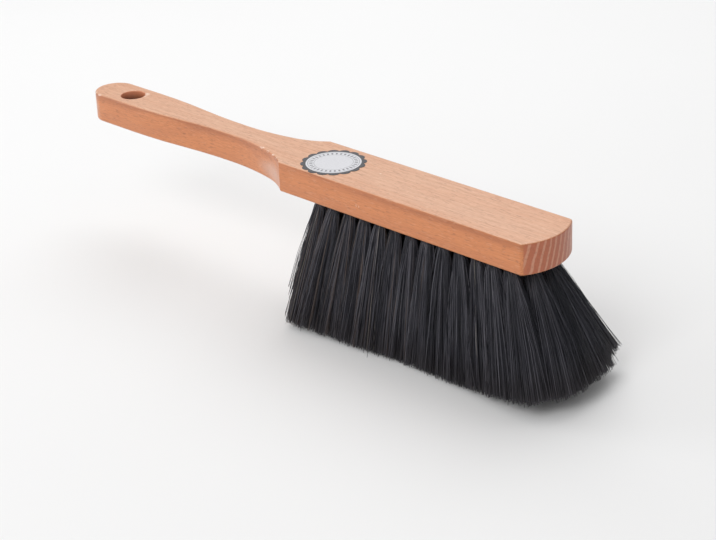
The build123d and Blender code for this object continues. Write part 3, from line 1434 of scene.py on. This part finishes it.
    def tuft_mesh(
        self,
        name: str,
        points: np.ndarray,
        shares: np.ndarray,
        shades: np.ndarray,
        faces: list[tuple[int, ...]],
    ) -> bpy.types.Object:
        """Makes one object of a tuft's hairs, with the map that its finish reads.

        Args:
            name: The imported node's name.
            points: Corners by hair.
            shares: Share of the hair's length by corner.
            shades: Shade by hair.
            faces: The master hair's faces.

        Returns:
            The tuft.
        """
        count, corners, _ = points.shape
        mesh = bpy.data.meshes.new(f"hair_{name}")
        starts = range(0, count * corners, corners)
        every = [tuple(start + corner for corner in face) for start in starts for face in faces]
        mesh.from_pydata(points.reshape(-1, 3), [], every)
        mesh.shade_smooth()

        corner = np.empty(len(mesh.loops), dtype=np.int32)
        mesh.loops.foreach_get("vertex_index", corner)
        across = shades[corner // corners] + self.shade_width * (corner % 2)
        spots = np.stack([across, shares[corner % corners]], axis=1).astype(np.float32)
        for map_name in (HAIR_MAP, BAKE_MAP):
            mesh.uv_layers.new(name=map_name).data.foreach_set("uv", spots.ravel())
        mesh.uv_layers[HAIR_MAP].active_render = True

        return linked(f"hair_{name}", mesh)


# What keeps its packed form


class Fittings:
    """The paper label on the block and the wire anchors in the holes."""

    def build(self) -> list[bpy.types.Object]:
        """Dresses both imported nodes.

        Returns:
            The label and the anchors.
        """
        low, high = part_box("label")
        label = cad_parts["label"]
        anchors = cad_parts["anchors"]
        dress(label, PrintedPaper(centre=tuple((low + high) / 2)).material())
        dress(anchors, WireSteel().material())
        return [label, anchors]


# The studio


@dataclass(frozen=True)
class Lamp:
    """A soft square area lamp that looks at the broom."""

    name: str
    place: Triple
    size: float
    power: float
    target: Triple = (0, 0, 60 * MM)

    def build(self) -> None:
        """Puts the lamp up."""
        light = bpy.data.lights.new(self.name, "AREA")
        light.size = self.size
        light.energy = self.power
        lamp = linked(self.name, light)
        lamp.location = self.place
        away = Vector(self.place) - Vector(self.target)
        lamp.rotation_euler = away.to_track_quat("Z", "Y").to_euler()


@dataclass
class Studio:
    """Pale floor, soft lamps and the camera at the photograph's angle."""

    floor_size: float = 8.0
    sky_colour: Colour = (1.0, 1.0, 1.0)
    sky_light: float = 0.5
    sky_seen: float = 0.86
    lamps: tuple[Lamp, ...] = (
        Lamp("overhead", (-0.35, 0.5, 1.0), 1.0, 6.5),
        Lamp("right_front", (0.3, -1.2, 1.08), 0.8, 9.0),
        Lamp("left_end", (-1.1, -0.55, 0.45), 0.6, 3.5),
    )
    camera_place: Triple = (0.58038, -0.56031, 0.39645)
    azimuth: float = 44.665
    elevation: float = 24.459
    roll: float = -2.262
    lens: float = 96.29
    shift: tuple[float, float] = (-0.01436, -0.03468)

    def build(self) -> None:
        """Builds floor, sky, lamps and camera."""
        self.floor()
        self.sky()
        for lamp in self.lamps:
            lamp.build()
        self.camera()
        bpy.context.scene.view_settings.view_transform = "Standard"

    def floor(self) -> None:
        """Lays the floor."""
        floor = added("studio_floor", bpy.ops.mesh.primitive_plane_add, size=self.floor_size)
        dress(floor, StudioPaper().material())

    def sky(self) -> None:
        """Lights the scene evenly, and shows the camera the floor's own pale tone."""
        world = bpy.data.worlds.new("studio_sky")
        bpy.context.scene.world = world
        world.use_nodes = True
        tree = world.node_tree
        background = next(node for node in tree.nodes if node.type == "BACKGROUND")
        background.inputs["Color"].default_value = (*self.sky_colour, 1)
        path = tree.nodes.new("ShaderNodeLightPath")
        strength = tree.nodes.new("ShaderNodeMapRange")
        strength.inputs["To Min"].default_value = self.sky_light
        strength.inputs["To Max"].default_value = self.sky_seen
        tree.links.new(path.outputs["Is Camera Ray"], strength.inputs["Value"])
        tree.links.new(strength.outputs["Result"], background.inputs["Strength"])

    def camera(self) -> None:
        """Sets the camera up."""
        turn, rise, roll = (math.radians(angle) for angle in (self.azimuth, self.elevation, self.roll))
        back = Vector((math.sin(turn) * math.cos(rise), -math.cos(turn) * math.cos(rise), math.sin(rise)))
        right = Vector((math.cos(turn), math.sin(turn), 0))
        up = back.cross(right)
        rolled_right = math.cos(roll) * right + math.sin(roll) * up
        rolled_up = math.cos(roll) * up - math.sin(roll) * right
        lens = bpy.data.cameras.new("photo_camera")
        lens.lens = self.lens
        lens.shift_x, lens.shift_y = self.shift
        camera = linked("photo_camera", lens)
        facing = Matrix((rolled_right, rolled_up, back)).transposed()
        camera.matrix_world = Matrix.Translation(self.camera_place) @ facing.to_4x4()
        bpy.context.scene.camera = camera


def main() -> None:
    """Builds the studio and every piece of the broom, and logs each piece's faces."""
    logging.basicConfig(level=logging.INFO, format="%(message)s")
    plan = TuftPlan()
    Studio().build()
    pieces = [Stock(plan, Beech()).build()]
    pieces += Tufts(plan, HairPlan(), Horsehair()).build()
    pieces += Fittings().build()
    for piece in pieces:
        log.info("%s: %d faces", piece.name, len(piece.data.polygons))


if __name__ == "__main__":
    main()
